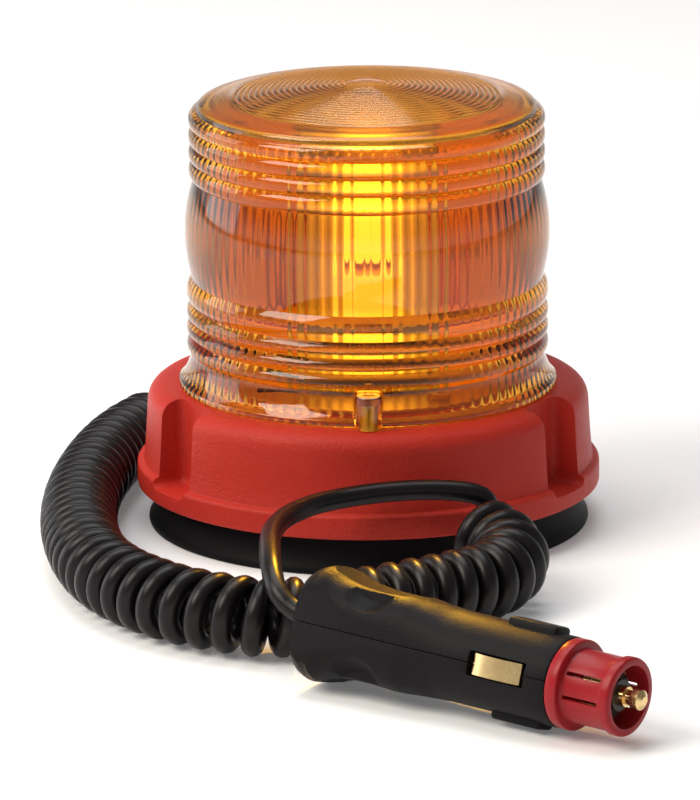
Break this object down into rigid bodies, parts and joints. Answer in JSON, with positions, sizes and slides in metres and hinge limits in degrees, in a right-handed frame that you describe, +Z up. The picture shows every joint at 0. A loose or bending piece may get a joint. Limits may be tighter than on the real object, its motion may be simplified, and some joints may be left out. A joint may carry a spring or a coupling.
{
  "type": "magnetic rotating beacon",
  "caption": "Magnet-mounted rotating warning beacon with a ribbed amber lens, a geared reflector, a spiral cord and an accessory-socket plug.",
  "frame": {"origin": "centre of the magnet foot, on the surface it stands on", "axes": "+Z up through the lens, -Y the front, towards the cord's loop and the plug"},
  "size_m": [0.1408, 0.2723, 0.1081],
  "materials": {
    "boot_rubber": "matt black moulded rubber",
    "zinc_steel": "zinc-plated pressed steel",
    "ferrite": "dark grey sintered ferrite",
    "red_housing": "red moulded plastic with a fine spark texture",
    "black_moulding": "black moulded plastic with a fine grain",
    "screw_steel": "plated steel",
    "gasket_rubber": "black seal rubber",
    "amber_lens": "transparent amber moulding, smooth outside and fluted inside",
    "white_moulding": "natural white engineering plastic",
    "reflector_bright": "bright metallised sheet",
    "bakelite": "dark phenolic moulding",
    "contact_brass": "plain brass, slightly dulled",
    "clear_glass": "clear lamp glass",
    "filament_wire": "tungsten wire",
    "live_insulation": "brown wire insulation",
    "earth_insulation": "black wire insulation",
    "cord_jacket": "black semi-gloss polyurethane jacket",
    "adapter_red": "red moulded plastic, smooth"
  },
  "bodies": {
    "beacon": {"base_cover": "black_moulding", "base_housing": "red_housing", "bulb_cap": "contact_brass", "bulb_filament": "filament_wire", "bulb_glass": "clear_glass", "cable_gland": "black_moulding", "chassis_plate": "zinc_steel", "chassis_screws": "screw_steel", "cord_clamp": "white_moulding", "cord_coil": "cord_jacket", "cord_lead": "cord_jacket", "cord_tail": "cord_jacket", "cover_screws": "screw_steel", "earth_wire": "earth_insulation", "lamp_holder": "bakelite", "lens_dome": "amber_lens", "lens_gasket": "gasket_rubber", "lens_screws": "screw_steel", "live_wire": "live_insulation", "magnet_bolt": "zinc_steel", "magnet_boot": "boot_rubber", "magnet_cup": "zinc_steel", "magnet_nut": "zinc_steel", "motor_case": "zinc_steel", "motor_leads": "live_insulation", "motor_screws": "screw_steel", "nose_contact": "contact_brass", "nose_insulator": "bakelite", "plug_screw": "screw_steel", "plug_shell_lower": "black_moulding", "plug_shell_upper": "black_moulding", "plug_spring": "screw_steel", "rear_terminal": "contact_brass", "retaining_clip": "screw_steel", "ring_magnet": "ferrite", "spindle": "zinc_steel", "spindle_nut": "zinc_steel", "terminal_block": "white_moulding", "thrust_washer": "zinc_steel"},
    "rotor": {"turntable_gear": "white_moulding", "reflector": "reflector_bright", "reflector_screws": "screw_steel"},
    "motor_rotor": {"motor_shaft": "zinc_steel", "motor_pinion": "white_moulding"},
    "adapter": {"adapter_sleeve": "adapter_red"},
    "tip": {"tip_contact": "contact_brass", "plug_fuse": "clear_glass"},
    "side_front": {"side_contact_front": "contact_brass"},
    "side_back": {"side_contact_back": "contact_brass"}
  },
  "joints": [
    {"name": "reflector_spin", "type": "hinge", "parent": "beacon", "child": "rotor", "pos_m": [0, 0, 0.04], "axis": [0, 0, 1], "continuous": true},
    {"name": "motor_spin", "type": "hinge", "parent": "beacon", "child": "motor_rotor", "pos_m": [0.0252, 0, 0.03], "axis": [0, 0, 1], "continuous": true},
    {"name": "adapter_pull", "type": "slide", "parent": "beacon", "child": "adapter", "axis": [0.7982, -0.6015, -0.0314], "range_m": [0, 0.025]},
    {"name": "tip_press", "type": "slide", "parent": "beacon", "child": "tip", "axis": [-0.7982, 0.6015, 0.0314], "range_m": [0, 0.003], "stiffness_N_per_m": 600, "springref_m": -0.002, "deforming": ["plug_spring"]},
    {"name": "side_front_press", "type": "slide", "parent": "beacon", "child": "side_front", "axis": [0.5716, 0.7729, -0.2755], "range_m": [0, 0.0012], "stiffness_N_per_m": 800, "springref_m": -0.0005},
    {"name": "side_back_press", "type": "slide", "parent": "beacon", "child": "side_back", "axis": [-0.5716, -0.7729, 0.2755], "range_m": [0, 0.0012], "stiffness_N_per_m": 800, "springref_m": -0.0005}
  ],
  "couplings": [
    {"joint": "motor_spin", "follows": "reflector_spin", "ratio": -5}
  ]
}
